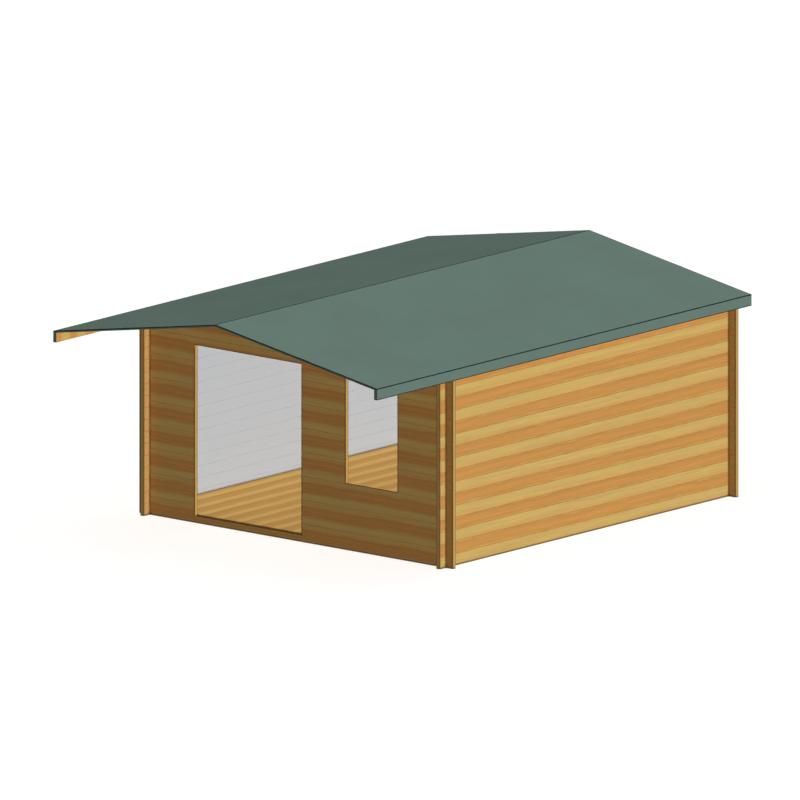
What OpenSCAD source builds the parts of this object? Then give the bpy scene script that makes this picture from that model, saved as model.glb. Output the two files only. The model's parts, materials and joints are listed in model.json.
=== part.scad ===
// Log cabin of interlocking squared logs under a low felted gable roof
// that runs out over the front wall as a canopy.
// Origin on the ground under the middle of the roof, +Z up, front towards -Y, sizes in mm.

/* [Cabin] */
// Outside width, from side wall to side wall
cabin_w = 3995; // [3500:5:4600]
// Outside length, from front wall to back wall
cabin_l = 4520; // [3600:10:5600]

/* [Logs] */
// Log thickness
log_t = 44; // [40:1:58]
// Height of one course of logs
course_h = 125; // [118:1:135]
// How far a log end sticks out past the wall it crosses
log_end = 95; // [75:1:115]
// Bevel along the long edges of a log
log_bevel = 3; // [1:0.5:4]
// Height of a side wall's top log at its outer face
top_log_h = 108; // [90:1:120]

/* [Log joints] */
// Width of each of the two tongues along the top of a log
tongue_w = 8; // [6:0.5:9]
// Height of the tongues
tongue_h = 9; // [6:1:12]
// Distance between the middles of the two tongues
tongue_pitch = 18; // [15:1:19]
// Room left around a tongue in its groove
tongue_gap = 0.5; // [0.3:0.1:1]
// Room left each side of a log in a corner notch
notch_gap = 0.4; // [0.3:0.1:1]

/* [Openings] */
// Width of the doorway
door_w = 1423; // [1200:1:1600]
// Width of the window opening
window_w = 692; // [500:1:800]
// Width of the wall between doorway and window
pier_w = 590; // [400:1:700]
// Whole courses between the base log and the window
sill_courses = 5; // [3:1:8]
// Whole courses between the base log and the lintel log
head_courses = 14; // [13:1:16]
// How far both openings are cut up into the lintel log
head_notch = 43; // [20:1:60]

/* [Floor] */
// Thickness of the floor deck
deck_t = 19; // [16:1:28]
// Height of a floor joist
joist_h = 60; // [50:1:75]
// Width of a floor joist
joist_w = 45; // [38:1:60]
// Number of floor joists
joist_n = 9; // [6:1:12]
// Room left between the floor deck and the walls
floor_gap = 1; // [0.5:0.5:6]

/* [Roof] */
// Roof pitch in degrees
pitch = 9.65; // [8:0.05:12]
// Roof past the front wall
front_overhang = 1280; // [600:5:1500]
// Roof past the back wall
back_overhang = 125; // [120:1:300]
// Roof past each side wall
eaves_overhang = 165; // [140:1:260]
// Thickness of the roof boards
board_t = 19; // [16:1:28]
// Thickness of the roof felt
felt_t = 3; // [2:0.5:4]
// Thickness of the eaves board
eaves_t = 38; // [20:1:45]
// Depth of the roof edge at the eaves
eaves_h = 118; // [90:1:140]

/* [Purlins] */
// Width of a purlin
purlin_w = 58; // [44:1:80]
// Height of a purlin
purlin_h = 100; // [90:1:110]
// Room left each side of a purlin in the gable logs
purlin_gap = 0.5; // [0.3:0.1:1]

/* [Hidden] */
// One course lies between the lintel log and the roof at the corners.
courses = head_courses + 2;
half_w = cabin_w / 2;
inner_w = cabin_w - 2 * log_t;
roof_l = front_overhang + cabin_l + back_overhang;
// The origin lies under the middle of the roof, so the front wall is set by the overhangs.
roof_front = -roof_l / 2;
roof_back = roof_l / 2;
front_y = roof_front + front_overhang;
back_y = front_y + cabin_l;

// Corners: walls that cross are half a course apart, and each log is notched a quarter course deep.
base_h = course_h / 2;
notch_h = course_h / 4;
log_w = cabin_w + 2 * log_end;
log_l = cabin_l + 2 * log_end;
// How far a cutting shape runs past what it cuts
over = 20;

// Roof planes
slope = tan(pitch);
side_h = courses * course_h + top_log_h;
ridge_under = side_h + half_w * slope;
board_v = board_t / cos(pitch);
felt_v = felt_t / cos(pitch);
eaves_x = half_w + eaves_overhang - felt_t;
eaves_in_x = eaves_x - eaves_t;
roof_x = eaves_x + felt_t;
eaves_bottom = under_z(roof_x) + board_v + felt_v - eaves_h;

// Front wall
// The openings stand in the middle of the wall, so the corners beside them are alike.
door_l = -(door_w + pier_w + window_w) / 2;
door_r = door_l + door_w;
window_l = door_r + pier_w;
window_r = window_l + window_w;
sill_z = base_h + sill_courses * course_h;
head_h = base_h + head_courses * course_h + head_notch;
// First courses of the piers beside the window, counted as odd or even from the base log
odd_sill = sill_courses + sill_courses % 2;
even_sill = sill_courses + 1 - sill_courses % 2;
// Gable logs: the last one runs up to the ridge, so that no sliver is left over it.
gable_z = base_h + courses * course_h;
gable_courses = max(1, floor((ridge_under - gable_z) / course_h));
purlin_x = half_w / 2;

// Height of the underside of the roof boards at a distance from the middle
function under_z(x) = ridge_under - abs(x) * slope;

// Outline of a log seen at its end, standing on z = 0
module log_outline(height, groove = true, tongue = true) {
    first = (log_t - tongue_pitch) / 2;
    last = (log_t + tongue_pitch) / 2;
    half_groove = tongue_w / 2 + tongue_gap;
    half_tongue = tongue_w / 2;
    deep = tongue_h + tongue_gap;
    foot = groove
        ? [for (mid = [first, last])
               each [[mid - half_groove, 0], [mid - half_groove, deep],
                     [mid + half_groove, deep], [mid + half_groove, 0]]]
        : [];
    crown = tongue
        ? [for (mid = [last, first])
               each [[mid + half_tongue, height], [mid + half_tongue, height + tongue_h],
                     [mid - half_tongue, height + tongue_h], [mid - half_tongue, height]]]
        : [];
    polygon(concat(
        [[0, log_bevel], [log_bevel, 0]], foot,
        [[log_t - log_bevel, 0], [log_t, log_bevel], [log_t, height - log_bevel], [log_t - log_bevel, height]],
        crown, [[log_bevel, height], [0, height - log_bevel]]
    ));
}

// Log along X from x0 to x1, its outer face on y = 0 and its thickness towards +Y
module log_along_x(x0, x1, height, groove = true, tongue = true) {
    translate([x0, 0, 0])
        rotate([90, 0, 90])
            linear_extrude(height = x1 - x0)
                log_outline(height, groove, tongue);
}

// Log along Y from y0 to y1, its outer face on x = log_t
module log_along_y(y0, y1, height, groove = true, tongue = true) {
    translate([log_t, y0, 0])
        rotate([90, 0, 180])
            linear_extrude(height = y1 - y0)
                log_outline(height, groove, tongue);
}

// Space that a crossing wall takes out of a log, from z0 to z1
module notch_x(z0, z1) {
    for (side = [-1, 1])
        translate([side * (half_w - log_t / 2), log_t / 2, (z0 + z1) / 2])
            cube([log_t + 2 * notch_gap, log_t + 2 * over, z1 - z0], center = true);
}

module notch_y(z0, z1) {
    for (y = [front_y + log_t / 2, back_y - log_t / 2])
        translate([log_t / 2, y, (z0 + z1) / 2])
            cube([log_t + 2 * over, log_t + 2 * notch_gap, z1 - z0], center = true);
}

// Front or back log from x0 to x1, notched where it crosses a side wall
module cross_log(x0, x1) {
    difference() {
        log_along_x(x0, x1, course_h);
        notch_x(-over, notch_h);
        notch_x(course_h - notch_h, course_h + over);
    }
}

// Half-height log that starts the front and back walls
module base_log() {
    difference() {
        log_along_x(-log_w / 2, log_w / 2, base_h, groove = false);
        notch_x(base_h - notch_h, base_h + over);
    }
}

// Front or back log number j counted from the base log, in its place above the ground
module course_x(j, x0, x1) {
    translate([0, 0, base_h + j * course_h])
        cross_log(x0, x1);
}

// Everything under the roof boards, across the whole roof
module under_roof(deep) {
    translate([0, deep, 0])
        rotate([90, 0, 0])
            linear_extrude(height = 2 * deep)
                polygon([[-roof_x, 0], [roof_x, 0], [roof_x, under_z(roof_x)],
                         [0, ridge_under], [-roof_x, under_z(roof_x)]]);
}

// Gable log number g, cut to the two slopes, fitted between the side walls and round the purlins
module gable_log(g) {
    last = g == gable_courses - 1;
    z = gable_z + g * course_h;
    height = last ? ridge_under + over - z : course_h;
    reach = half_w - log_t - notch_gap;
    difference() {
        intersection() {
            translate([0, 0, z])
                log_along_x(-reach, reach, height, tongue = !last);
            under_roof(2 * log_t);
        }
        for (x = [-purlin_x, 0, purlin_x])
            purlin_slot(x);
    }
}

module purlin_slot(x) {
    wide = purlin_w / 2 + purlin_gap;
    translate([x - wide, -over, under_z(abs(x) + purlin_w / 2) - purlin_h])
        cube([2 * wide, log_t + 2 * over, purlin_h + 2 * over + purlin_w]);
}

// Side log number k counted from the ground, notched where it crosses the front and back walls
module course_y(k) {
    translate([0, 0, k * course_h])
        difference() {
            log_along_y(front_y - log_end, back_y + log_end, course_h, groove = k > 0);
            notch_y(-over, notch_h);
            notch_y(course_h - notch_h, course_h + over);
        }
}

// Top log of a side wall, bevelled to the roof
module top_course_y() {
    tall = top_log_h + log_t;
    translate([0, 0, courses * course_h])
        difference() {
            log_along_y(front_y - log_end, back_y + log_end, tall, tongue = false);
            notch_y(-over, notch_h);
            translate([0, back_y + log_end + over, 0])
                rotate([90, 0, 0])
                    linear_extrude(height = log_l + 2 * over)
                        polygon([[log_t + over, top_log_h - over * slope], [log_t + over, tall + over],
                                 [-over, tall + over], [-over, top_log_h + (log_t + over) * slope]]);
        }
}

// Odd or even logs of the right wall, first = 0 for the courses that start with the ground log
module side_wall(first) {
    translate([half_w - log_t, 0, 0]) {
        for (k = [first : 2 : courses - 1])
            course_y(k);
        if (courses % 2 == first)
            top_course_y();
    }
}

module at_front() {
    translate([0, front_y, 0])
        children();
}

module at_back() {
    translate([0, back_y, 0])
        mirror([0, 1, 0])
            children();
}

// Front logs from x0 to x1, every second course from j0 to j1
module front_logs(j0, j1, x0, x1) {
    at_front()
        for (j = [j0 : 2 : j1])
            course_x(j, x0, x1);
}

// Doorway and window, cut out of the logs that pass over and under them
module openings() {
    translate([door_l, -over, base_h])
        cube([door_w, log_t + 2 * over, head_h - base_h]);
    translate([window_l, -over, sill_z])
        cube([window_w, log_t + 2 * over, head_h - sill_z]);
}

module gable_logs(first) {
    for (g = [first : 2 : gable_courses - 1])
        gable_log(g);
}

module purlin(x) {
    low = under_z(abs(x) + purlin_w / 2) - purlin_h;
    left = x - purlin_w / 2;
    right = x + purlin_w / 2;
    peak = x == 0 ? [[0, ridge_under]] : [];
    translate([0, back_y + log_end, 0])
        rotate([90, 0, 0])
            linear_extrude(height = log_l)
                polygon(concat([[left, low], [right, low], [right, under_z(right)]], peak, [[left, under_z(left)]]));
}

// Right roof slope, drawn as sections across the cabin and run along it from y0 to y1
module along_roof(y0, y1) {
    translate([0, y1, 0])
        rotate([90, 0, 0])
            linear_extrude(height = y1 - y0)
                children();
}

module roof_boards() {
    along_roof(roof_front + felt_t, roof_back - felt_t)
        polygon([[0, ridge_under], [eaves_x, under_z(eaves_x)],
                 [eaves_x, under_z(eaves_x) + board_v], [0, ridge_under + board_v]]);
}

module eaves_board() {
    along_roof(roof_front + felt_t, roof_back - felt_t)
        polygon([[eaves_in_x, eaves_bottom], [eaves_x, eaves_bottom],
                 [eaves_x, under_z(eaves_x)], [eaves_in_x, under_z(eaves_in_x)]]);
}

// Felt over the slope, turned down over the eaves board and both verges
module roof_felt() {
    difference() {
        along_roof(roof_front, roof_back)
            polygon([[0, ridge_under], [eaves_in_x, under_z(eaves_in_x)],
                     [eaves_in_x, eaves_bottom], [roof_x, eaves_bottom],
                     [roof_x, under_z(roof_x) + board_v + felt_v], [0, ridge_under + board_v + felt_v]]);
        along_roof(roof_front + felt_t, roof_back - felt_t)
            polygon([[-over, eaves_bottom - over], [eaves_x, eaves_bottom - over],
                     [eaves_x, under_z(eaves_x) + board_v], [0, ridge_under + board_v],
                     [-over, ridge_under + board_v]]);
    }
}

module mirrored() {
    mirror([1, 0, 0])
        children();
}

module floor_joists() {
    pitch_y = (cabin_l - 2 * log_t - 2 * floor_gap - joist_w) / (joist_n - 1);
    color("SaddleBrown")
        for (i = [0 : joist_n - 1])
            translate([-inner_w / 2, front_y + log_t + floor_gap + i * pitch_y, 0])
                cube([inner_w, joist_w, joist_h]);
}

module floor_deck() {
    color("BurlyWood")
        translate([floor_gap - inner_w / 2, front_y + log_t + floor_gap, joist_h])
            cube([inner_w - 2 * floor_gap, cabin_l - 2 * log_t - 2 * floor_gap, deck_t]);
}

module left_wall_odd_logs() { color("BurlyWood") mirrored() side_wall(0); }
module left_wall_even_logs() { color("Peru") mirrored() side_wall(1); }
module right_wall_odd_logs() { color("BurlyWood") side_wall(0); }
module right_wall_even_logs() { color("Peru") side_wall(1); }

module back_base_log() { color("BurlyWood") at_back() base_log(); }

module back_wall_odd_logs() {
    color("Peru")
        at_back()
            for (j = [0 : 2 : courses - 1])
                course_x(j, -log_w / 2, log_w / 2);
}

module back_wall_even_logs() {
    color("BurlyWood")
        at_back()
            for (j = [1 : 2 : courses - 1])
                course_x(j, -log_w / 2, log_w / 2);
}

module back_gable_odd_logs() { color("Peru") at_back() gable_logs(0); }
module back_gable_even_logs() { color("BurlyWood") at_back() gable_logs(1); }

module front_base_log() {
    color("BurlyWood")
        at_front()
            difference() {
                base_log();
                openings();
            }
}

module left_pier_odd_logs() { color("Peru") front_logs(0, head_courses - 1, -log_w / 2, door_l); }
module left_pier_even_logs() { color("BurlyWood") front_logs(1, head_courses - 1, -log_w / 2, door_l); }

module middle_pier_odd_logs() { color("Peru") front_logs(odd_sill, head_courses - 1, door_r, window_l); }
module middle_pier_even_logs() { color("BurlyWood") front_logs(even_sill, head_courses - 1, door_r, window_l); }
module right_pier_odd_logs() { color("Peru") front_logs(odd_sill, head_courses - 1, window_r, log_w / 2); }
module right_pier_even_logs() { color("BurlyWood") front_logs(even_sill, head_courses - 1, window_r, log_w / 2); }

module apron_logs(first) {
    difference() {
        front_logs(first, sill_courses - 1, door_r, log_w / 2);
        at_front()
            translate([window_l, -over, sill_z])
                cube([window_w, log_t + 2 * over, course_h]);
    }
}

module apron_odd_logs() { color("Peru") apron_logs(0); }
module apron_even_logs() { color("BurlyWood") apron_logs(1); }

module lintel_log() {
    color("Peru")
        at_front()
            difference() {
                course_x(head_courses, -log_w / 2, log_w / 2);
                openings();
            }
}

module front_top_log() { color("BurlyWood") front_logs(courses - 1, courses - 1, -log_w / 2, log_w / 2); }
module front_gable_odd_logs() { color("Peru") at_front() gable_logs(0); }
module front_gable_even_logs() { color("BurlyWood") at_front() gable_logs(1); }

module ridge_purlin() { color("BurlyWood") purlin(0); }
module left_purlin() { color("BurlyWood") purlin(-purlin_x); }
module right_purlin() { color("BurlyWood") purlin(purlin_x); }

module left_roof_boards() { color("BurlyWood") mirrored() roof_boards(); }
module right_roof_boards() { color("BurlyWood") roof_boards(); }
module left_eaves_board() { color("Peru") mirrored() eaves_board(); }
module right_eaves_board() { color("Peru") eaves_board(); }
module left_roof_felt() { color("DarkSlateGray") mirrored() roof_felt(); }
module right_roof_felt() { color("DarkSlateGray") roof_felt(); }

floor_joists();
floor_deck();
left_wall_odd_logs();
left_wall_even_logs();
right_wall_odd_logs();
right_wall_even_logs();
back_base_log();
back_wall_odd_logs();
back_wall_even_logs();
back_gable_odd_logs();
back_gable_even_logs();
front_base_log();
left_pier_odd_logs();
left_pier_even_logs();
middle_pier_odd_logs();
middle_pier_even_logs();
right_pier_odd_logs();
right_pier_even_logs();
apron_odd_logs();
apron_even_logs();
lintel_log();
front_top_log();
front_gable_odd_logs();
front_gable_even_logs();
ridge_purlin();
left_purlin();
right_purlin();
left_roof_boards();
right_roof_boards();
left_eaves_board();
right_eaves_board();
left_roof_felt();
right_roof_felt();
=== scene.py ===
"""Log cabin of interlocking squared logs: looks, small pieces, light and camera."""
import json
import math

import bmesh
import bpy
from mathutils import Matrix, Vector


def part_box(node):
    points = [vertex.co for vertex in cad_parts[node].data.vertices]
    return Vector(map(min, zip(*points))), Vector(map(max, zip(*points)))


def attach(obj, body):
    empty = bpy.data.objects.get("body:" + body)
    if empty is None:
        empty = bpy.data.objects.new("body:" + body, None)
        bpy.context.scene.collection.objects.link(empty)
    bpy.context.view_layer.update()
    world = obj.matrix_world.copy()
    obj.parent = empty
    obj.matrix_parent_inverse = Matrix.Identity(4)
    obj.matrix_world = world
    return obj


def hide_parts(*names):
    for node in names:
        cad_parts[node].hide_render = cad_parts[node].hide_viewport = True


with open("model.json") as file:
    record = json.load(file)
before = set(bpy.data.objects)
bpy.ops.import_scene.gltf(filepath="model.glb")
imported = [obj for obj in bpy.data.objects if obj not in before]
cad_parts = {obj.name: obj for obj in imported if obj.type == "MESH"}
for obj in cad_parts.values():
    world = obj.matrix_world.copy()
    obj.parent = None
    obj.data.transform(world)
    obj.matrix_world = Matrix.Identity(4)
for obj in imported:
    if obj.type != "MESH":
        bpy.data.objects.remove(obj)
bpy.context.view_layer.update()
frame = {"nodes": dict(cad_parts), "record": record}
MM = 0.001

# Sizes in metres that the frame gives
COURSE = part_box("right_wall_even_logs")[0].z
FRONT_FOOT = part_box("left_pier_odd_logs")[0].z
DECK_LOW, DECK_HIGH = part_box("floor_deck")
ROOF_LOW, ROOF_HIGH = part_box("right_roof_boards")
FELT_LOW, FELT_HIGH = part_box("right_roof_felt")
WALL_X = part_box("right_wall_even_logs")[1].x
FRONT_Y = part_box("front_gable_odd_logs")[0].y
BACK_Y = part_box("back_gable_odd_logs")[1].y
LOG_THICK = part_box("front_gable_odd_logs")[1].y - FRONT_Y
SIDE_ENDS = [corner.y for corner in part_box("right_wall_even_logs")]
CROSS_ENDS = [corner.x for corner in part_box("back_wall_even_logs")]
OPENINGS = [opening["box_m"] for opening in frame["record"]["physics"]["openings"]
            if opening["name"] in ("doorway", "window_opening")]
# Middle of the walls, and how far their outer faces lie from it
OUTER_FACES = {"X": (0, WALL_X), "Y": ((FRONT_Y + BACK_Y) / 2, (BACK_Y - FRONT_Y) / 2)}

# Sizes in metres of the small pieces
SIDES = {"left": -1, "right": 1}
ROOF_PITCH = math.radians(9.65)
ROOF_SLOPE = math.tan(ROOF_PITCH)
FLOOR_BOARD = 126.5 * MM
FLOOR_RIP = 61.5 * MM
ROOF_BOARD = 125 * MM
BOARD_JOINT = 0.8 * MM
BOARD_EDGE = 2.5 * MM
FELT_ROLL = 1000 * MM
FELT_LAP = 75 * MM
LAP_STEP = 2 * MM
LAP_TAPER = 160 * MM
NAIL_RADIUS = 5.5 * MM
NAIL_CROWN = 3.8 * MM
NAIL_RISE = 1.4 * MM
NAIL_SIDES = 10
NAIL_SPACING = 150 * MM
NAIL_INSET = 32 * MM

# Sizes in metres of the wood's figure. Fine grain is drawn coarser than it is, so that it shows.
LOG_STREAK = 30 * MM
BOARD_STREAK = 24 * MM
STREAK_LENGTH = 900 * MM
FINE_WIDTH = 4 * MM
FINE_LENGTH = 260 * MM
GRAIN_HEIGHT = 0.4 * MM
RING_WIDTH = 5 * MM
RING_SWAY = 18 * MM
SWAY_WIDTH = 180 * MM
SWAY_LENGTH = 900 * MM
PITH_DEPTH = 75 * MM
TONE_WAVER = 10 * MM
WAVER_WIDTH = 400 * MM
WAVER_LENGTH = 260 * MM
CROSS_TONE_FOOT = 137 * MM

# Sizes in metres of painted shade, damp and other darkening, paint, felt and zinc
CORNER_REACH = 40 * MM
WICK_REACH = 18 * MM
RIM_REACH = 10 * MM
FOOT_REACH = 14 * MM
DRIP_REACH = 12 * MM
FLOOR_CLEARANCE = 1 * MM
PAINT_REACH = 4 * MM
FELT_GRIT = 9 * MM
FELT_CLOUD = 700 * MM
GRIT_HEIGHT = 0.6 * MM
FOLD_WEAR = 8.5 * MM
ZINC_MOTTLE = 4 * MM
MOTTLE_HEIGHT = 0.2 * MM

# Most of a noise lies in this range, which the finishes spread over shares of their tone.
NOISE_RANGE = {"From Min": 0.3, "From Max": 0.7}
STREAK_TONES = {"To Min": 0.93, "To Max": 1.06}
FINE_TONES = {"To Min": 0.95, "To Max": 1.05}
GRIT_TONES = {"To Min": 0.93, "To Max": 1.07}
CLOUD_TONES = {"To Min": 0.97, "To Max": 1.03}
MOTTLE_TONES = {"To Min": 0.92, "To Max": 1.08}
RING_TONES = {"To Min": 1.025, "To Max": 0.925}

# Strengths and limits of the finishes
MATT_IOR = 1.5
GRAIN_ROUGHNESS = 0.55
LATE_WOOD_POWER = 3.0
END_RING_POWER = 3.0
PITH_HEIGHTS = {"To Min": 0.2 * COURSE, "To Max": 0.8 * COURSE}
BAND_BLEND = {"From Min": -0.6, "From Max": 0.6}
FOLD_RANGE = {"To Min": 0.8 * FOLD_WEAR, "To Max": 1.2 * FOLD_WEAR}
DARKENING_DEPTH = 0.8
# How dark the painted shade in inside corners gets
CORNER_SHADE_DEPTH = 0.9
# How much of the space round a point is open, from shut in to free
OPENNESS_RAYS = 8
CORNER_OPENNESS = {"From Min": 0.55, "From Max": 0.78}
CONTACT_OPENNESS = {"From Min": 0.5, "From Max": 0.85}
# How square a face is to an axis, as a cosine
SQUARE_ON = 0.9
BEVEL_SLANT = math.sqrt(0.5)
BEVEL_SPREAD = 0.1

# Sockets of a Mix node that mixes colours
FACTOR = 0
UNDER = 6
OVER = 7
MIXED = 2

# Colours as they look in plain light
PALE_WOOD = "#CAAB63"
WARM_WOOD = "#C88F4A"
DEEP_WOOD = "#BF8A46"
PEACH_WOOD = "#CB9E58"
END_WOOD = "#C09A56"
SEALED_SHADED_CROSS = "#B28B50"
SEALED_SHADED_SIDE = "#C19554"
WEATHERED_WOOD = "#543D21"
FLOOR_PALE = "#C7A356"
FLOOR_EDGE = "#C6A054"
FLOOR_WARM = "#B98A3C"
SAWN_WOOD = "#B98F58"
JOINT_WOOD = "#946A38"
SIDE_JOINT = "#A87A40"
INSIDE_JOINT = "#8C939B"
INSIDE_SIDE_JOINT = "#ACB3BC"
INSIDE_PAINT = "#B4BCC5"
# Dark brown of damp at the ends and edges of logs, also used for painted shade in inside corners
DAMP_AND_SHADE = "#5C4326"
FELT_GREEN = "#677C73"
FELT_BITUMEN = "#2A3430"
NAIL_ZINC = "#6E827A"
STUDIO_WHITE = "#FFFFFF"
STUDIO_BOUNCE = "#7C7C7C"

# Pale sapwood and warm heartwood follow each other over each pair of logs or boards: where each
# tone lies across a pair, 0 to 1
LOG_TONES = [
    (0.0, PEACH_WOOD), (0.27, PALE_WOOD), (0.43, PALE_WOOD), (0.5, PEACH_WOOD), (0.6, DEEP_WOOD),
    (0.69, WARM_WOOD), (0.82, WARM_WOOD), (0.91, DEEP_WOOD), (0.96, DEEP_WOOD), (1.0, PEACH_WOOD)]
FLOOR_TONES = [
    (0.0, FLOOR_EDGE), (0.16, FLOOR_PALE), (0.27, FLOOR_PALE), (0.55, FLOOR_WARM),
    (0.85, FLOOR_WARM), (1.0, FLOOR_EDGE)]
# Heights at which the courses and their tones start, by the run of the logs
LOG_FEET = {"X": (FRONT_FOOT, CROSS_TONE_FOOT), "Y": (0.0, 0.0)}
# Colour of the bevelled joints, outside and inside, by the run of the logs: dust with painted
# shade.
# On the cross walls the bevels catch more light than the faces do, so the painted shade is darker
# there and reads as a line.
JOINT_DUST_AND_SHADE = {"X": (JOINT_WOOD, INSIDE_JOINT), "Y": (SIDE_JOINT, INSIDE_SIDE_JOINT)}
# Second coat of oil on the ends past a corner, by the run of the logs, with painted shade against
# the light that the walls beside them throw back
SEALED_AND_SHADED_TONES = {"X": SEALED_SHADED_CROSS, "Y": SEALED_SHADED_SIDE}

# Camera: a parallel view, as a drawing has
PICTURE_WIDTH = 800
PIXELS_PER_METRE = 98
VIEW_AZIMUTH = math.radians(40.15)
VIEW_ELEVATION = math.radians(12.33)
VIEW_AIM = Vector((0, -0.0378, 1.1953))
VIEW_DISTANCE = 30

# Light: what each light gives a face that is square to it, where 1 shows a colour as it is written
KEY_LIGHT = Vector((0.83, -0.14, 0.62))
FILL_LIGHT = Vector((-0.31, 0.28, -0.06))
TOP_LIGHT = Vector((0.0, 0.0, 0.08))
TOP_SOFTNESS = math.radians(60)
SKY_LIGHT = 0.12

# Studio floor, in metres, and what it shows under the cabin's foot
STUDIO_HALF = 60
STUDIO_DROP = 1 * MM
STUDIO_GLOW = 0.2
CONTACT_REACH = 40 * MM
CONTACT_SHADE = 0.3


def felt_top(x):
    """Height of the felt's upper face at a distance from the ridge."""
    return FELT_HIGH.z - x * ROOF_SLOPE


def linear(hex_colour):
    """sRGB hex to the linear RGBA that shaders take."""
    values = [int(hex_colour[i:i + 2], 16) / 255 for i in (1, 3, 5)]
    return [v / 12.92 if v <= 0.04045 else ((v + 0.055) / 1.055) ** 2.4 for v in values] + [1.0]


def add(tree, kind, links=None, **settings):
    """Adds a node with its settings, and links or sets its inputs."""
    node = tree.nodes.new(kind)
    for name, value in settings.items():
        setattr(node, name, value)
    for socket, value in (links or {}).items():
        if isinstance(value, bpy.types.NodeSocket):
            tree.links.new(value, node.inputs[socket])
        else:
            node.inputs[socket].default_value = value
    return node


def new_material(name):
    """Material with no nodes yet, and its node tree."""
    material = bpy.data.materials.new(name)
    material.use_nodes = True
    material.node_tree.nodes.clear()
    return material, material.node_tree


def finish_material(tree, colour, normal, roughness, specular):
    """Principled surface: wood, felt and dull zinc are matt, so their gloss is low."""
    surface = add(tree, "ShaderNodeBsdfPrincipled", {
        "Base Color": colour, "Normal": normal, "Roughness": roughness,
        "Specular IOR Level": specular, "IOR": MATT_IOR})
    add(tree, "ShaderNodeOutputMaterial", {"Surface": surface.outputs[0]})


def away_from(tree, value, middle):
    """How far a value lies from a middle, to either side of it."""
    offset = add(tree, "ShaderNodeMath", {0: value, 1: middle}, operation="SUBTRACT")
    return add(tree, "ShaderNodeMath", {0: offset.outputs[0]}, operation="ABSOLUTE").outputs[0]


def from_outside(tree, place, run):
    """Distance in from the outer face of the walls whose logs have this run."""
    across = "Y" if run == "X" else "X"
    middle, half = OUTER_FACES[across]
    side = add(tree, "ShaderNodeSeparateXYZ", {0: place}).outputs[across]
    distance = away_from(tree, side, middle)
    return add(tree, "ShaderNodeMath", {0: half, 1: distance}, operation="SUBTRACT").outputs[0]


def grain(tree, place, run, width, length, detail):
    """Noise drawn out along a log or board: cells of a real width and length in metres."""
    scale = [1 / length if axis == run else 1 / width for axis in "XYZ"]
    drawn_out = add(tree, "ShaderNodeMapping", {"Vector": place, "Scale": scale})
    noise = add(tree, "ShaderNodeTexNoise", {
        "Vector": drawn_out.outputs[0], "Scale": 1.0, "Detail": detail,
        "Roughness": GRAIN_ROUGHNESS})
    return noise.outputs[0]


def planed_wood(tree, place, run, colour, streak_width):
    """Colour and bump of planed softwood: soft streaks and a fine raised grain along the run."""
    streak = grain(tree, place, run, streak_width, STREAK_LENGTH, detail=3.0)
    fine = grain(tree, place, run, FINE_WIDTH, FINE_LENGTH, detail=3.0)
    streak_value = add(tree, "ShaderNodeMapRange", {
        "Value": streak, **NOISE_RANGE, **STREAK_TONES})
    fine_value = add(tree, "ShaderNodeMapRange", {
        "Value": fine, **NOISE_RANGE, **FINE_TONES})
    value = add(tree, "ShaderNodeMath", {
        0: streak_value.outputs[0], 1: fine_value.outputs[0]}, operation="MULTIPLY")
    toned = add(tree, "ShaderNodeHueSaturation", {"Value": value.outputs[0], "Color": colour})
    bump = add(tree, "ShaderNodeBump", {
        "Height": fine, "Strength": 0.25, "Distance": GRAIN_HEIGHT})
    return toned.outputs[0], bump.outputs[0]


def on_bevel(tree, coords):
    """1 on the bevels along the edges of a log or board, 0 elsewhere."""
    upwards = add(tree, "ShaderNodeSeparateXYZ", {0: coords["Normal"]}).outputs["Z"]
    slant = add(tree, "ShaderNodeMath", {0: upwards}, operation="ABSOLUTE")
    bevel = add(tree, "ShaderNodeMath", {
        0: slant.outputs[0], 1: BEVEL_SLANT, 2: BEVEL_SPREAD}, operation="COMPARE")
    return bevel.outputs[0]


def dark_bevels(tree, coords, colour, dark):
    """Dust and oil gather in the bevels beside a joint, and painted shade darkens them, so that it
    reads as a thin line.
    """
    lined = add(tree, "ShaderNodeMix", {
        FACTOR: on_bevel(tree, coords), UNDER: colour, OVER: linear(dark)}, data_type="RGBA")
    return lined.outputs[MIXED]


def corner_shade(tree, coords, colour):
    """Painted shade in the inside corners where logs cross, or meet the floor or the roof: the less
    open a point is, the darker.
    """
    openness = add(tree, "ShaderNodeAmbientOcclusion", {
        "Distance": CORNER_REACH}, samples=OPENNESS_RAYS)
    shut_in = add(tree, "ShaderNodeMapRange", {
        "Value": openness.outputs["AO"], **CORNER_OPENNESS, "To Min": CORNER_SHADE_DEPTH, "To Max": 0.0})
    off_bevel = add(tree, "ShaderNodeMath", {
        0: 1.0, 1: on_bevel(tree, coords)}, operation="SUBTRACT")
    shade_amount = add(tree, "ShaderNodeMath", {
        0: shut_in.outputs[0], 1: off_bevel.outputs[0]}, operation="MULTIPLY")
    shaded_corners = add(tree, "ShaderNodeMix", {
        FACTOR: shade_amount.outputs[0], UNDER: colour, OVER: linear(DAMP_AND_SHADE)}, data_type="RGBA")
    return shaded_corners.outputs[MIXED]


def wicked_ends(tree, place, run, ends, colour):
    """Damp and oil creep in through the end grain, so a log darkens close to its two ends."""
    along = add(tree, "ShaderNodeSeparateXYZ", {0: place}).outputs[run]
    low, high = ends
    half = (high - low) / 2
    darkening = add(tree, "ShaderNodeMapRange", {
        "Value": away_from(tree, along, (low + high) / 2),
        "From Min": half - WICK_REACH, "From Max": half - WICK_REACH / 3,
        "To Min": 0.0, "To Max": DARKENING_DEPTH})
    darkened = add(tree, "ShaderNodeMix", {
        FACTOR: darkening.outputs[0], UNDER: colour, OVER: linear(DAMP_AND_SHADE)}, data_type="RGBA")
    return darkened.outputs[MIXED]


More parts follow.
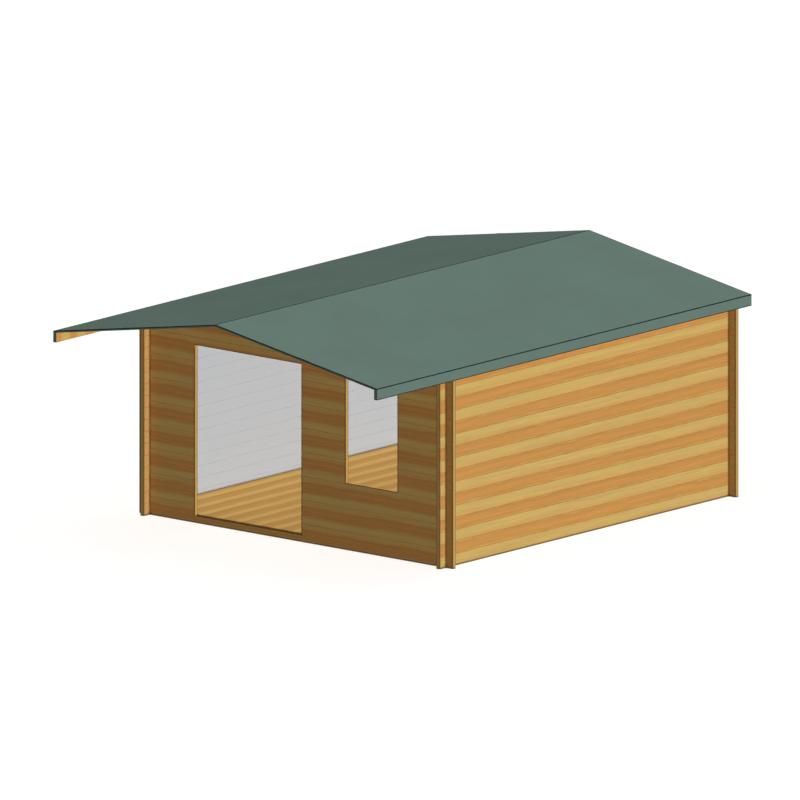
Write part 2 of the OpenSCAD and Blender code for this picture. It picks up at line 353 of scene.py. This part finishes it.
def darker_foot(tree, place, colour):
    """The walls darken towards their very foot, over their lowest 14 mm."""
    up = add(tree, "ShaderNodeSeparateXYZ", {0: place}).outputs["Z"]
    darkening = add(tree, "ShaderNodeMapRange", {
        "Value": up, "From Min": FOOT_REACH / 2, "From Max": FOOT_REACH,
        "To Min": DARKENING_DEPTH, "To Max": 0.0})
    darkened = add(tree, "ShaderNodeMix", {
        FACTOR: darkening.outputs[0], UNDER: colour, OVER: linear(DAMP_AND_SHADE)}, data_type="RGBA")
    return darkened.outputs[MIXED]


def drip_edges(tree, place, colour):
    """Rain hangs on the lower edge of the log over each opening and leaves a dark line there."""
    along, _, up = add(tree, "ShaderNodeSeparateXYZ", {0: place}).outputs
    for low, high in OPENINGS:
        over = add(tree, "ShaderNodeMath", {
            0: along, 1: (low[0] + high[0]) / 2, 2: (high[0] - low[0]) / 2}, operation="COMPARE")
        head = high[2]
        darkening = add(tree, "ShaderNodeMapRange", {
            "Value": up, "From Min": head + DRIP_REACH / 2, "From Max": head + DRIP_REACH,
            "To Min": DARKENING_DEPTH, "To Max": 0.0})
        drip = add(tree, "ShaderNodeMath", {
            0: over.outputs[0], 1: darkening.outputs[0]}, operation="MULTIPLY")
        darkened = add(tree, "ShaderNodeMix", {
            FACTOR: drip.outputs[0], UNDER: colour, OVER: linear(DAMP_AND_SHADE)}, data_type="RGBA")
        colour = darkened.outputs[MIXED]
    return colour


def weathered_top(tree, coords, colour):
    """Rain and dirt lie on level faces, such as a threshold or a sill, and turn the wood dark."""
    upwards = add(tree, "ShaderNodeSeparateXYZ", {0: coords["Normal"]}).outputs["Z"]
    level = add(tree, "ShaderNodeMath", {0: upwards, 1: SQUARE_ON}, operation="GREATER_THAN")
    weathered = add(tree, "ShaderNodeMix", {
        FACTOR: level.outputs[0], UNDER: colour, OVER: linear(WEATHERED_WOOD)}, data_type="RGBA")
    return weathered.outputs[MIXED]


def sealed_and_shaded_ends(tree, coords, run, colour):
    """The ends past a corner are sealed with a second coat of oil, which evens their tone, and are
    painted darker, as shade against the light that the walls beside them throw back.

    On the side walls only the faces that look at each other are sealed and shaded."""
    place = add(tree, "ShaderNodeSeparateXYZ", {0: coords["Object"]}).outputs
    middle, half = OUTER_FACES[run]
    distance = away_from(tree, place[run], middle)
    sealed = add(tree, "ShaderNodeMath", {0: distance, 1: half}, operation="GREATER_THAN")
    if run == "Y":
        facing = add(tree, "ShaderNodeSeparateXYZ", {0: coords["Normal"]}).outputs["X"]
        outward = add(tree, "ShaderNodeMath", {0: facing, 1: place["X"]}, operation="MULTIPLY")
        inward = add(tree, "ShaderNodeMath", {
            0: outward.outputs[0], 1: 0.0}, operation="LESS_THAN")
        sealed = add(tree, "ShaderNodeMath", {
            0: sealed.outputs[0], 1: inward.outputs[0]}, operation="MULTIPLY")
    evened = add(tree, "ShaderNodeMix", {
        FACTOR: sealed.outputs[0], UNDER: colour,
        OVER: linear(SEALED_AND_SHADED_TONES[run])}, data_type="RGBA")
    return evened.outputs[MIXED]


def growth_rings(tree, place, run, up_log, log_number):
    """Rings of the trunk that a log was sawn from: long arches along its faces, arcs on its ends.

    Pale early wood darkens outwards to a sharp line of late wood. The value is 1 on average."""
    lot = add(tree, "ShaderNodeTexWhiteNoise", {
        "W": log_number}, noise_dimensions="1D").outputs["Value"]
    wander = grain(tree, place, run, SWAY_WIDTH, SWAY_LENGTH, detail=1.5)
    pith_height = add(tree, "ShaderNodeMapRange", {"Value": lot, **PITH_HEIGHTS})
    sway = add(tree, "ShaderNodeMapRange", {
        "Value": wander, **NOISE_RANGE, "To Min": -RING_SWAY, "To Max": RING_SWAY})
    pith = add(tree, "ShaderNodeMath", {
        0: pith_height.outputs[0], 1: sway.outputs[0]}, operation="ADD")
    height = add(tree, "ShaderNodeMath", {0: up_log, 1: COURSE}, operation="MULTIPLY")
    rise = add(tree, "ShaderNodeMath", {
        0: height.outputs[0], 1: pith.outputs[0]}, operation="SUBTRACT")
    depth = add(tree, "ShaderNodeMath", {
        0: PITH_DEPTH, 1: from_outside(tree, place, run)}, operation="SUBTRACT")
    from_pith = add(tree, "ShaderNodeCombineXYZ", {0: rise.outputs[0], 1: depth.outputs[0]})
    radius = add(tree, "ShaderNodeVectorMath", {0: from_pith.outputs[0]}, operation="LENGTH")
    years = add(tree, "ShaderNodeMath", {
        0: radius.outputs["Value"], 1: 1 / RING_WIDTH, 2: lot}, operation="MULTIPLY_ADD")
    season = add(tree, "ShaderNodeMath", {0: years.outputs[0]}, operation="FRACT")
    late = add(tree, "ShaderNodeMath", {
        0: season.outputs[0], 1: LATE_WOOD_POWER}, operation="POWER")
    return add(tree, "ShaderNodeMapRange", {"Value": late.outputs[0], **RING_TONES}).outputs[0]


def end_grain(tree, coords, run, rings, colour):
    """Cut ends have one tone, on which the rings show as clear arcs and damp darkens both edges."""
    side = add(tree, "ShaderNodeSeparateXYZ", {0: coords["Normal"]}).outputs[run]
    facing = add(tree, "ShaderNodeMath", {0: side}, operation="ABSOLUTE")
    is_end = add(tree, "ShaderNodeMath", {
        0: facing.outputs[0], 1: SQUARE_ON}, operation="GREATER_THAN")
    clear_rings = add(tree, "ShaderNodeMath", {0: rings, 1: END_RING_POWER}, operation="POWER")
    ringed = add(tree, "ShaderNodeHueSaturation", {
        "Value": clear_rings.outputs[0], "Color": linear(END_WOOD)})
    half = LOG_THICK / 2
    darkening = add(tree, "ShaderNodeMapRange", {
        "Value": away_from(tree, from_outside(tree, coords["Object"], run), half),
        "From Min": half - RIM_REACH, "From Max": half - RIM_REACH / 2,
        "To Min": 0.0, "To Max": DARKENING_DEPTH})
    rimmed = add(tree, "ShaderNodeMix", {
        FACTOR: darkening.outputs[0], UNDER: ringed.outputs[0],
        OVER: linear(DAMP_AND_SHADE)}, data_type="RGBA")
    ended = add(tree, "ShaderNodeMix", {
        FACTOR: is_end.outputs[0], UNDER: colour, OVER: rimmed.outputs[MIXED]}, data_type="RGBA")
    return ended.outputs[MIXED]


def inside_paint(tree, coords, joint, colour):
    """Matt pale grey paint on the faces that look into the room."""
    place = add(tree, "ShaderNodeSeparateXYZ", {0: coords["Object"]}).outputs
    reach = FLOOR_CLEARANCE + PAINT_REACH
    middle = (DECK_LOW + DECK_HIGH) / 2
    half = (DECK_HIGH - DECK_LOW) / 2
    within = []
    for axis in range(2):
        distance = away_from(tree, place[axis], middle[axis])
        within.append(add(tree, "ShaderNodeMath", {
            0: distance, 1: half[axis] + reach}, operation="LESS_THAN"))
    in_room = add(tree, "ShaderNodeMath", {
        0: within[0].outputs[0], 1: within[1].outputs[0]}, operation="MULTIPLY")
    # Painted shade in the bevelled joints of the paint
    paint = dark_bevels(tree, coords, linear(INSIDE_PAINT), joint)
    painted = add(tree, "ShaderNodeMix", {
        FACTOR: in_room.outputs[0], UNDER: colour, OVER: paint}, data_type="RGBA")
    return painted.outputs[MIXED]


def wood_tone(tree, place, run, across, foot, pair, tones):
    """Tone of the wood across a pair of logs or boards, which wavers a little along them."""
    waver = grain(tree, place, run, WAVER_WIDTH, WAVER_LENGTH, detail=2.0)
    start = add(tree, "ShaderNodeMapRange", {
        "Value": waver, **NOISE_RANGE, "To Min": foot - TONE_WAVER, "To Max": foot + TONE_WAVER})
    distance = add(tree, "ShaderNodeMath", {0: across, 1: start.outputs[0]}, operation="SUBTRACT")
    pairs = add(tree, "ShaderNodeMath", {0: distance.outputs[0], 1: pair}, operation="DIVIDE")
    tone_place = add(tree, "ShaderNodeMath", {
        0: pairs.outputs[0], 1: 1.0}, operation="FLOORED_MODULO")
    ramp = add(tree, "ShaderNodeValToRGB", {"Fac": tone_place.outputs[0]})
    stops = ramp.color_ramp.elements
    while len(stops) < len(tones):
        stops.new(1.0)
    for stop, (position, tone) in zip(stops, tones):
        stop.position = position
        stop.color = linear(tone)
    return ramp.outputs[0]


def planed_spruce_log(name, run, ends, drips=False):
    """Planed, oiled spruce: flat faces with a silky figure of heartwood, rings and fine streaks."""
    material, tree = new_material(name)
    coords = add(tree, "ShaderNodeTexCoord").outputs
    place = coords["Object"]
    foot, tone_foot = LOG_FEET[run]
    z = add(tree, "ShaderNodeSeparateXYZ", {0: place}).outputs["Z"]
    height = add(tree, "ShaderNodeMath", {0: z, 1: foot}, operation="SUBTRACT")
    courses = add(tree, "ShaderNodeMath", {0: height.outputs[0], 1: COURSE}, operation="DIVIDE")
    up_log = add(tree, "ShaderNodeMath", {0: courses.outputs[0]}, operation="FRACT")
    log_number = add(tree, "ShaderNodeMath", {0: courses.outputs[0]}, operation="FLOOR")
    tone = wood_tone(tree, place, run, z, tone_foot, 2 * COURSE, LOG_TONES)
    # Even tone of the sealed ends, with painted shade
    tone = sealed_and_shaded_ends(tree, coords, run, tone)
    rings = growth_rings(tree, place, run, up_log.outputs[0], log_number.outputs[0])
    ringed = add(tree, "ShaderNodeHueSaturation", {"Value": rings, "Color": tone})
    colour, normal = planed_wood(tree, place, run, ringed.outputs[0], LOG_STREAK)
    outer_joint, inner_joint = JOINT_DUST_AND_SHADE[run]
    # Dust and painted shade in the bevelled joints
    colour = dark_bevels(tree, coords, colour, outer_joint)
    colour = wicked_ends(tree, place, run, ends, colour)
    colour = darker_foot(tree, place, colour)
    if drips:
        colour = drip_edges(tree, place, colour)
    colour = inside_paint(tree, coords, inner_joint, colour)
    colour = end_grain(tree, coords, run, rings, colour)
    colour = weathered_top(tree, coords, colour)
    # Painted shade in the inside corners, kept off the bevels
    colour = corner_shade(tree, coords, colour)
    finish_material(tree, colour, normal, roughness=0.62, specular=0.2)
    return material


def floor_board():
    """Planed spruce floor, pale and warm by turns, with dust and painted shade in the joints and
    painted shade along the walls.
    """
    material, tree = new_material("planed_spruce_floor")
    coords = add(tree, "ShaderNodeTexCoord").outputs
    place = coords["Object"]
    x = add(tree, "ShaderNodeSeparateXYZ", {0: place}).outputs["X"]
    tone = wood_tone(
        tree, place, "Y", x, DECK_LOW.x + FLOOR_RIP, 2 * FLOOR_BOARD, FLOOR_TONES)
    colour, normal = planed_wood(tree, place, "Y", tone, BOARD_STREAK)
    colour = dark_bevels(tree, coords, colour, JOINT_WOOD)
    colour = corner_shade(tree, coords, colour)
    finish_material(tree, colour, normal, roughness=0.6, specular=0.2)
    return material


def softwood_board(name, run, tone):
    """Softwood board of one tone, with soft streaks, dust and painted shade in its bevelled joints,
    and painted shade in inside corners.
    """
    material, tree = new_material(name)
    coords = add(tree, "ShaderNodeTexCoord").outputs
    colour, normal = planed_wood(tree, coords["Object"], run, linear(tone), BOARD_STREAK)
    colour = dark_bevels(tree, coords, colour, JOINT_WOOD)
    colour = corner_shade(tree, coords, colour)
    finish_material(tree, colour, normal, roughness=0.6, specular=0.2)
    return material


def banded_board(name):
    """Eaves board sawn across the figure: pale and warm wood follow each other along it."""
    material, tree = new_material(name)
    place = add(tree, "ShaderNodeTexCoord").outputs["Object"]
    y = add(tree, "ShaderNodeSeparateXYZ", {0: place}).outputs["Y"]
    turns = add(tree, "ShaderNodeMath", {0: y, 1: math.pi / COURSE}, operation="MULTIPLY")
    wave = add(tree, "ShaderNodeMath", {0: turns.outputs[0]}, operation="SINE")
    warmth = add(tree, "ShaderNodeMapRange", {"Value": wave.outputs[0], **BAND_BLEND})
    bands = add(tree, "ShaderNodeMix", {
        FACTOR: warmth.outputs[0], UNDER: linear(PALE_WOOD),
        OVER: linear(WARM_WOOD)}, data_type="RGBA")
    colour, normal = planed_wood(tree, place, "Y", bands.outputs[MIXED], BOARD_STREAK)
    finish_material(tree, colour, normal, roughness=0.62, specular=0.2)
    return material


def worn_folds(tree, place, grit, colour):
    """Where felt is folded or cut the grains come off, and dark bitumen shows as a thin line."""
    across, along, up = add(tree, "ShaderNodeSeparateXYZ", {0: place}).outputs
    from_ridge = add(tree, "ShaderNodeMath", {0: across}, operation="ABSOLUTE")
    from_middle = add(tree, "ShaderNodeMath", {0: along}, operation="ABSOLUTE")
    to_eaves = add(tree, "ShaderNodeMath", {
        0: FELT_HIGH.x, 1: from_ridge.outputs[0]}, operation="SUBTRACT")
    to_verge = add(tree, "ShaderNodeMath", {
        0: FELT_HIGH.y, 1: from_middle.outputs[0]}, operation="SUBTRACT")
    nearest = from_ridge
    for fold in (to_eaves, to_verge):
        nearest = add(tree, "ShaderNodeMath", {
            0: nearest.outputs[0], 1: fold.outputs[0]}, operation="MINIMUM")
    # On the parts that are turned down, the fold is as far off as they hang below the slope.
    fallen = add(tree, "ShaderNodeMath", {
        0: from_ridge.outputs[0], 1: ROOF_SLOPE, 2: up}, operation="MULTIPLY_ADD")
    below = add(tree, "ShaderNodeMath", {
        0: FELT_HIGH.z, 1: fallen.outputs[0]}, operation="SUBTRACT")
    to_fold = add(tree, "ShaderNodeMath", {
        0: nearest.outputs[0], 1: below.outputs[0]}, operation="MAXIMUM")
    to_hem = add(tree, "ShaderNodeMath", {0: up, 1: FELT_LOW.z}, operation="SUBTRACT")
    to_edge = add(tree, "ShaderNodeMath", {
        0: to_fold.outputs[0], 1: to_hem.outputs[0]}, operation="MINIMUM")
    ragged = add(tree, "ShaderNodeMapRange", {"Value": grit, **NOISE_RANGE, **FOLD_RANGE})
    worn = add(tree, "ShaderNodeMath", {
        0: to_edge.outputs[0], 1: ragged.outputs[0]}, operation="LESS_THAN")
    bare = add(tree, "ShaderNodeMix", {
        FACTOR: worn.outputs[0], UNDER: colour, OVER: linear(FELT_BITUMEN)}, data_type="RGBA")
    return bare.outputs[MIXED]


def mineral_felt():
    """Bitumen felt dressed with crushed slate: dull green grains that scatter the light."""
    material, tree = new_material("mineral_felt")
    place = add(tree, "ShaderNodeTexCoord").outputs["Object"]
    # The grains are about 1.5 mm across and are drawn coarser, so that they show.
    grit = add(tree, "ShaderNodeTexNoise", {
        "Vector": place, "Scale": 1 / FELT_GRIT, "Detail": 2.0}).outputs[0]
    cloud = add(tree, "ShaderNodeTexNoise", {
        "Vector": place, "Scale": 1 / FELT_CLOUD, "Detail": 2.0}).outputs[0]
    grit_value = add(tree, "ShaderNodeMapRange", {"Value": grit, **NOISE_RANGE, **GRIT_TONES})
    cloud_value = add(tree, "ShaderNodeMapRange", {"Value": cloud, **NOISE_RANGE, **CLOUD_TONES})
    value = add(tree, "ShaderNodeMath", {
        0: grit_value.outputs[0], 1: cloud_value.outputs[0]}, operation="MULTIPLY")
    grains = add(tree, "ShaderNodeHueSaturation", {
        "Value": value.outputs[0], "Color": linear(FELT_GREEN)})
    colour = worn_folds(tree, place, grit, grains.outputs[0])
    bump = add(tree, "ShaderNodeBump", {
        "Height": grit, "Strength": 0.3, "Distance": GRIT_HEIGHT})
    finish_material(tree, colour, bump.outputs[0], roughness=0.95, specular=0.0)
    return material


def galvanised_nail():
    """Hot-dipped zinc gone dull: grey with a faint mottle and hardly any shine."""
    material, tree = new_material("galvanised_nail")
    place = add(tree, "ShaderNodeTexCoord").outputs["Object"]
    mottle = add(tree, "ShaderNodeTexNoise", {
        "Vector": place, "Scale": 1 / ZINC_MOTTLE, "Detail": 1.0}).outputs[0]
    value = add(tree, "ShaderNodeMapRange", {"Value": mottle, **NOISE_RANGE, **MOTTLE_TONES})
    colour = add(tree, "ShaderNodeHueSaturation", {
        "Value": value.outputs[0], "Color": linear(NAIL_ZINC)})
    bump = add(tree, "ShaderNodeBump", {
        "Height": mottle, "Strength": 0.1, "Distance": MOTTLE_HEIGHT})
    finish_material(tree, colour.outputs[0], bump.outputs[0], roughness=0.7, specular=0.3)
    return material


# Materials
side_wood = planed_spruce_log("oiled_spruce_side", "Y", SIDE_ENDS)
cross_wood = planed_spruce_log("oiled_spruce_cross", "X", CROSS_ENDS)
lintel_wood = planed_spruce_log("oiled_spruce_lintel", "X", CROSS_ENDS, drips=True)
floor_wood = floor_board()
roof_wood = softwood_board("planed_spruce_roof", "X", PALE_WOOD)
purlin_wood = softwood_board("planed_spruce_purlin", "Y", WARM_WOOD)
joist_wood = softwood_board("sawn_spruce_joist", "X", SAWN_WOOD)
eaves_wood = banded_board("planed_spruce_eaves")
felt = mineral_felt()
zinc = galvanised_nail()

NODE_MATERIALS = {
    side_wood: [
        "left_wall_odd_logs", "left_wall_even_logs", "right_wall_odd_logs", "right_wall_even_logs"],
    cross_wood: [
        "back_base_log", "back_wall_odd_logs", "back_wall_even_logs", "back_gable_odd_logs",
        "back_gable_even_logs", "front_base_log", "front_top_log", "front_gable_odd_logs",
        "front_gable_even_logs"],
    lintel_wood: ["lintel_log"],
    purlin_wood: ["ridge_purlin", "left_purlin", "right_purlin"],
    joist_wood: ["floor_joists"],
    eaves_wood: ["left_eaves_board", "right_eaves_board"],
    felt: ["left_roof_felt", "right_roof_felt"],
}
# The logs beside an opening are cut short, so each of these groups has ends of its own.
for group in ("left_pier", "middle_pier", "right_pier", "apron"):
    logs = [group + "_odd_logs", group + "_even_logs"]
    group_ends = [corner.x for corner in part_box(logs[0])]
    group_wood = planed_spruce_log("oiled_spruce_" + group, "X", group_ends)
    NODE_MATERIALS[group_wood] = logs
for finish, nodes in NODE_MATERIALS.items():
    for node in nodes:
        slots = frame["nodes"][node].data.materials
        slots.clear()
        slots.append(finish)


def new_piece(name, mesh, material):
    """Closed mesh that rides on the cabin, with the finish that it is given."""
    bmesh.ops.recalc_face_normals(mesh, faces=mesh.faces)
    data = bpy.data.meshes.new(name)
    mesh.to_mesh(data)
    mesh.free()
    data.materials.append(material)
    piece = bpy.data.objects.new(name, data)
    bpy.context.scene.collection.objects.link(piece)
    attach(piece, "root")
    return piece


def bevelled_board(mesh, section, start, end):
    """Board with the given section, run between two offsets that move each section point."""
    near = [mesh.verts.new(point + start) for point in section]
    far = [mesh.verts.new(point + end) for point in section]
    count = len(section)
    for i in range(count):
        j = (i + 1) % count
        mesh.faces.new([near[i], near[j], far[j], far[i]])
    mesh.faces.new(near[::-1])
    mesh.faces.new(far)


def floor_boards():
    """Deck boards from front to back with small bevelled joints: the first one is ripped narrow."""
    mesh = bmesh.new()
    edges = [DECK_LOW.x]
    edge = DECK_LOW.x + FLOOR_RIP
    while edge < DECK_HIGH.x - FLOOR_RIP / 2:
        edges.append(edge)
        edge += FLOOR_BOARD
    edges.append(DECK_HIGH.x)
    low = DECK_LOW.z
    high = DECK_HIGH.z
    for left, right in zip(edges, edges[1:]):
        x0 = left + BOARD_JOINT / 2
        x1 = right - BOARD_JOINT / 2
        section = [Vector(point) for point in (
            (x0, 0, low), (x1, 0, low), (x1, 0, high - BOARD_EDGE), (x1 - BOARD_EDGE, 0, high),
            (x0 + BOARD_EDGE, 0, high), (x0, 0, high - BOARD_EDGE))]
        bevelled_board(mesh, section, Vector((0, DECK_LOW.y, 0)), Vector((0, DECK_HIGH.y, 0)))
    piece = new_piece("floor_boards", mesh, floor_wood)
    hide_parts("floor_deck")


def roof_boards(name, side):
    """Roof boards of one slope, from ridge to eaves, with bevelled joints below."""
    mesh = bmesh.new()
    count = round((ROOF_HIGH.y - ROOF_LOW.y) / ROOF_BOARD)
    width = (ROOF_HIGH.y - ROOF_LOW.y) / count
    drop = ROOF_HIGH.x * ROOF_SLOPE
    high = ROOF_HIGH.z
    low = ROOF_LOW.z + drop
    for i in range(count):
        y0 = ROOF_LOW.y + i * width + (BOARD_JOINT / 2 if i else 0)
        y1 = ROOF_LOW.y + (i + 1) * width - (BOARD_JOINT / 2 if i < count - 1 else 0)
        section = [Vector(point) for point in (
            (0, y0 + BOARD_EDGE, low), (0, y1 - BOARD_EDGE, low), (0, y1, low + BOARD_EDGE),
            (0, y1, high), (0, y0, high), (0, y0, low + BOARD_EDGE))]
        bevelled_board(mesh, section, Vector((0, 0, 0)), Vector((side * ROOF_HIGH.x, 0, -drop)))
    piece = new_piece(name + "_roof_boarding", mesh, roof_wood)
    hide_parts(name + "_roof_boards")


def felt_laps(name, side):
    """Lower edges of the felt sheets, which lap over the sheet below and thin out upwards."""
    mesh = bmesh.new()
    lap_x = FELT_HIGH.x - FELT_ROLL + FELT_LAP
    while lap_x > 2 * LAP_TAPER:
        top_x = lap_x - LAP_TAPER
        section = [Vector(point) for point in (
            (side * lap_x, 0, felt_top(lap_x)), (side * lap_x, 0, felt_top(lap_x) + LAP_STEP),
            (side * top_x, 0, felt_top(top_x)))]
        bevelled_board(mesh, section, Vector((0, FELT_LOW.y, 0)), Vector((0, FELT_HIGH.y, 0)))
        lap_x -= FELT_ROLL - FELT_LAP
    new_piece(name + "_felt_laps", mesh, felt)


def nail_places():
    """Places of the felt nails on the right slope: along the eaves and up both verges."""
    eaves = FELT_HIGH.x - NAIL_INSET
    front = FELT_LOW.y + NAIL_INSET
    back = FELT_HIGH.y - NAIL_INSET
    along = round((back - front) / NAIL_SPACING)
    step = (back - front) / along
    places = [(eaves, front + i * step) for i in range(along + 1)]
    up = int((eaves - NAIL_SPACING) / NAIL_SPACING)
    for i in range(1, up + 1):
        for y in (front, back):
            places.append((eaves - i * NAIL_SPACING, y))
    return places


def nail_ring(mesh, side, place, radius, rise):
    """Ring of points round a nail, at a height above the felt."""
    ring = []
    for i in range(NAIL_SIDES):
        angle = 2 * math.pi * i / NAIL_SIDES
        x = place[0] + radius * math.cos(angle)
        y = place[1] + radius * math.sin(angle)
        ring.append(mesh.verts.new((side * x, y, felt_top(x) + rise)))
    return ring


def felt_nails(name, side):
    """Broad low nail heads that lie on the felt, with a sloping rim round a flat crown."""
    mesh = bmesh.new()
    for place in nail_places():
        foot = nail_ring(mesh, side, place, NAIL_RADIUS, 0)
        crown = nail_ring(mesh, side, place, NAIL_CROWN, NAIL_RISE)
        mesh.faces.new(foot)
        mesh.faces.new(crown)
        for i in range(NAIL_SIDES):
            j = (i + 1) % NAIL_SIDES
            mesh.faces.new([foot[i], foot[j], crown[j], crown[i]])
    new_piece(name + "_felt_nails", mesh, zinc)


floor_boards()
for slope, side in SIDES.items():
    roof_boards(slope, side)
    felt_laps(slope, side)
    felt_nails(slope, side)


def seen_by_eye(tree):
    """1 for what the eye sees, also in a mirror or through glass, and 0 for light that bounces."""
    path = add(tree, "ShaderNodeLightPath").outputs
    seen = add(tree, "ShaderNodeMath", {
        0: path["Is Camera Ray"], 1: path["Is Glossy Ray"]}, operation="MAXIMUM")
    shown = add(tree, "ShaderNodeMath", {
        0: seen.outputs[0], 1: path["Is Transmission Ray"]}, operation="MAXIMUM")
    return shown.outputs[0]


def studio_white():
    """Matt white floor: it shows the contact shadow, and sends only a little light back up."""
    material, tree = new_material("studio_floor_white")
    shown = seen_by_eye(tree)
    openness = add(tree, "ShaderNodeAmbientOcclusion", {
        "Distance": CONTACT_REACH}, samples=OPENNESS_RAYS)
    contact = add(tree, "ShaderNodeMapRange", {
        "Value": openness.outputs["AO"], **CONTACT_OPENNESS,
        "To Min": CONTACT_SHADE, "To Max": 1.0})
    white = add(tree, "ShaderNodeHueSaturation", {
        "Value": contact.outputs[0], "Color": linear(STUDIO_WHITE)}).outputs[0]
    colour = add(tree, "ShaderNodeMix", {
        FACTOR: shown, UNDER: linear(STUDIO_BOUNCE), OVER: white}, data_type="RGBA")
    lit = add(tree, "ShaderNodeBsdfDiffuse", {"Color": colour.outputs[MIXED]})
    strength = add(tree, "ShaderNodeMath", {0: shown, 1: STUDIO_GLOW}, operation="MULTIPLY")
    glow = add(tree, "ShaderNodeEmission", {"Color": white, "Strength": strength.outputs[0]})
    surface = add(tree, "ShaderNodeAddShader", {0: lit.outputs[0], 1: glow.outputs[0]})
    add(tree, "ShaderNodeOutputMaterial", {"Surface": surface.outputs[0]})
    return material


def studio_floor():
    """Wide flat floor just under the cabin's foot, which takes its shadow."""
    mesh = bmesh.new()
    half = STUDIO_HALF
    corners = ((-half, -half), (half, -half), (half, half), (-half, half))
    mesh.faces.new([mesh.verts.new((x, y, -STUDIO_DROP)) for x, y in corners])
    data = bpy.data.meshes.new("studio_floor")
    mesh.to_mesh(data)
    mesh.free()
    data.materials.append(studio_white())
    floor = bpy.data.objects.new("studio_floor", data)
    bpy.context.scene.collection.objects.link(floor)


def sun(name, towards, softness, shadow):
    """Even light from one side. Its length is what it gives a face that is square to it."""
    light = bpy.data.lights.new(name, "SUN")
    light.energy = towards.length * math.pi
    light.angle = softness
    light.use_shadow = shadow
    lamp = bpy.data.objects.new(name, light)
    lamp.rotation_euler = towards.to_track_quat("Z", "Y").to_euler()
    bpy.context.scene.collection.objects.link(lamp)


def sky():
    """White all round for the eye, and a weak even light on the cabin."""
    world = bpy.data.worlds.new("studio_sky")
    world.use_nodes = True
    tree = world.node_tree
    tree.nodes.clear()
    strength = add(tree, "ShaderNodeMapRange", {
        "Value": seen_by_eye(tree), "To Min": SKY_LIGHT, "To Max": 1.0})
    light = add(tree, "ShaderNodeBackground", {
        "Strength": strength.outputs[0], "Color": linear(STUDIO_WHITE)})
    add(tree, "ShaderNodeOutputWorld", {"Surface": light.outputs[0]})
    bpy.context.scene.world = world


def camera():
    """Parallel camera at the height and turn of the picture."""
    data = bpy.data.cameras.new("camera")
    data.type = "ORTHO"
    data.ortho_scale = PICTURE_WIDTH / PIXELS_PER_METRE
    data.clip_end = 4 * VIEW_DISTANCE
    lens = bpy.data.objects.new("camera", data)
    level = math.cos(VIEW_ELEVATION)
    back = Vector((
        math.sin(VIEW_AZIMUTH) * level, -math.cos(VIEW_AZIMUTH) * level, math.sin(VIEW_ELEVATION)))
    lens.location = VIEW_AIM + VIEW_DISTANCE * back
    lens.rotation_euler = back.to_track_quat("Z", "Y").to_euler()
    bpy.context.scene.collection.objects.link(lens)
    bpy.context.scene.camera = lens


studio_floor()
sun("key_light", KEY_LIGHT, softness=0.0, shadow=False)
sun("fill_light", FILL_LIGHT, softness=0.0, shadow=False)
sun("top_light", TOP_LIGHT, TOP_SOFTNESS, shadow=True)
sky()
camera()
bpy.context.scene.view_settings.view_transform = "Standard"
